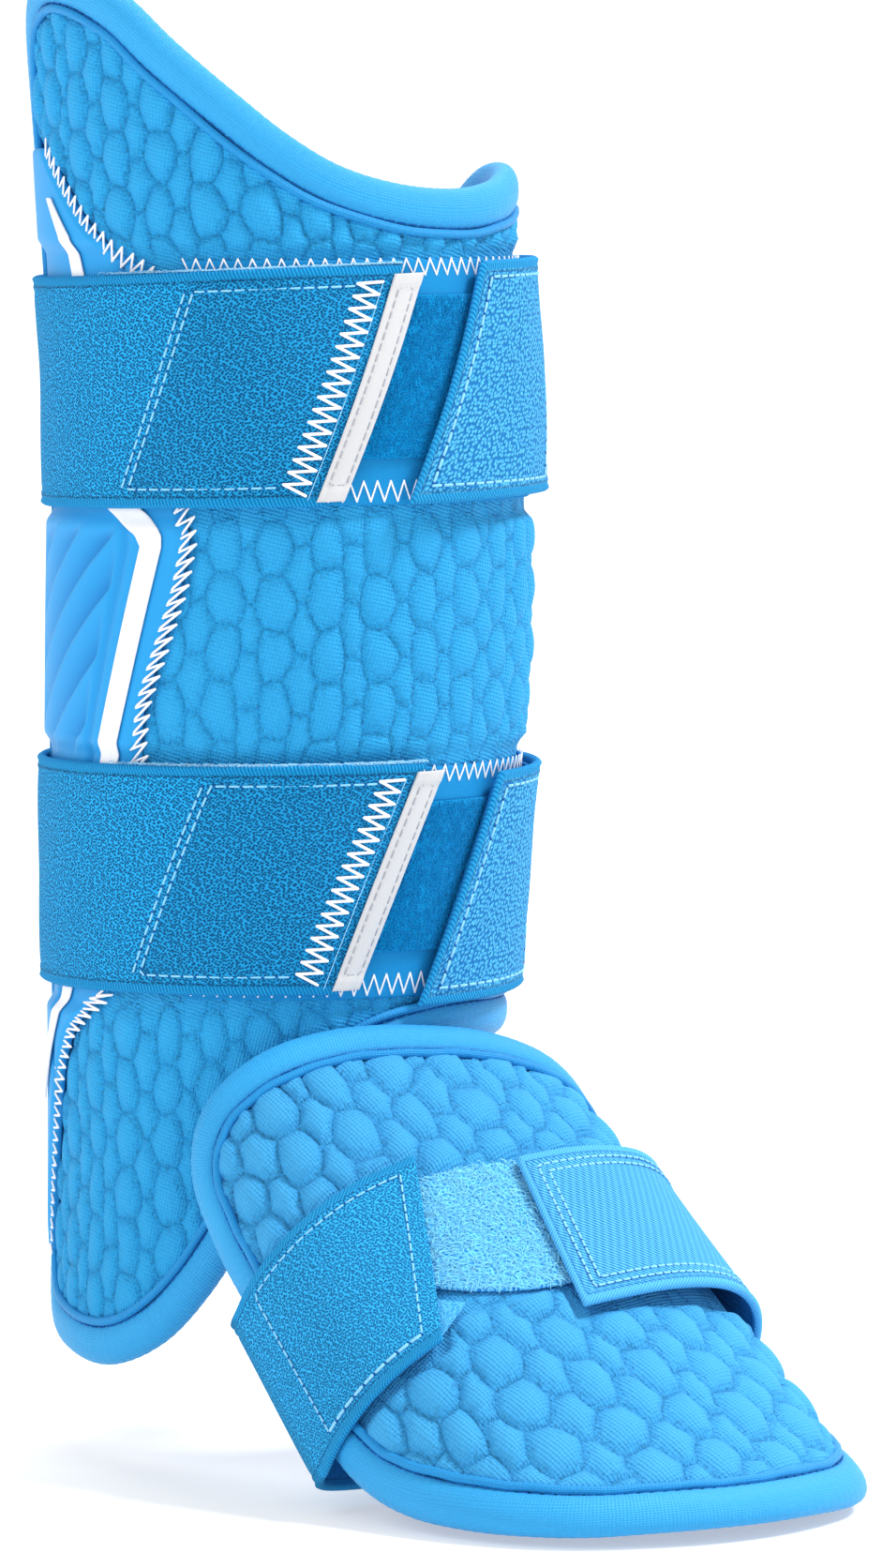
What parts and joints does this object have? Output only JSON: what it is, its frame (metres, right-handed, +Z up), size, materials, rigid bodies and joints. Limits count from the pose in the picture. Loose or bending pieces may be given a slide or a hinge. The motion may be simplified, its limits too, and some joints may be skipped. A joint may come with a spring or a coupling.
{
  "type": "batter's leg guard",
  "caption": "Quilted, padded leg guard for a batter: a wrap-round shin pad with wide elastic calf straps and an arched foot pad with an under-foot strap.",
  "frame": {"origin": "on the leg's axis, midway between the two calf straps", "axes": "+Z up the leg, -Y out of the front of the shin towards the toe, -X towards the side panel"},
  "size_m": [0.1389, 0.2754, 0.3891],
  "materials": {
    "quilt": "quilted woven cloth over foam, matt with a soft sheen",
    "binding": "smooth rolled binding cloth, satin",
    "panel": "smooth moulded cloth-faced foam, satin",
    "white": "white coated tape, matt",
    "elastic": "wide knitted elastic, pebbled, matt",
    "loop": "loop fastener pile, matt",
    "base": "smooth woven tape, matt",
    "patch": "brushed loop fastener pile, matt",
    "hook": "hook fastener, matt",
    "webbing": "plain woven webbing, matt"
  },
  "bodies": {
    "root": {"shin_pad": "quilt", "shin_binding": "binding", "side_panel": "panel", "side_stripe": "white", "foot_pad": "quilt", "foot_binding": "binding", "foot_loop_patch": "patch", "foot_hook_tab": "hook", "foot_strap": "elastic", "ankle_link": "webbing", "upper_loop_base": "base", "upper_loop_field": "loop", "upper_calf_strap": "elastic", "upper_end_bar": "white", "upper_hook_tab": "hook", "lower_loop_base": "base", "lower_loop_field": "loop", "lower_calf_strap": "elastic", "lower_end_bar": "white", "lower_hook_tab": "hook"}
  },
  "joints": []
}
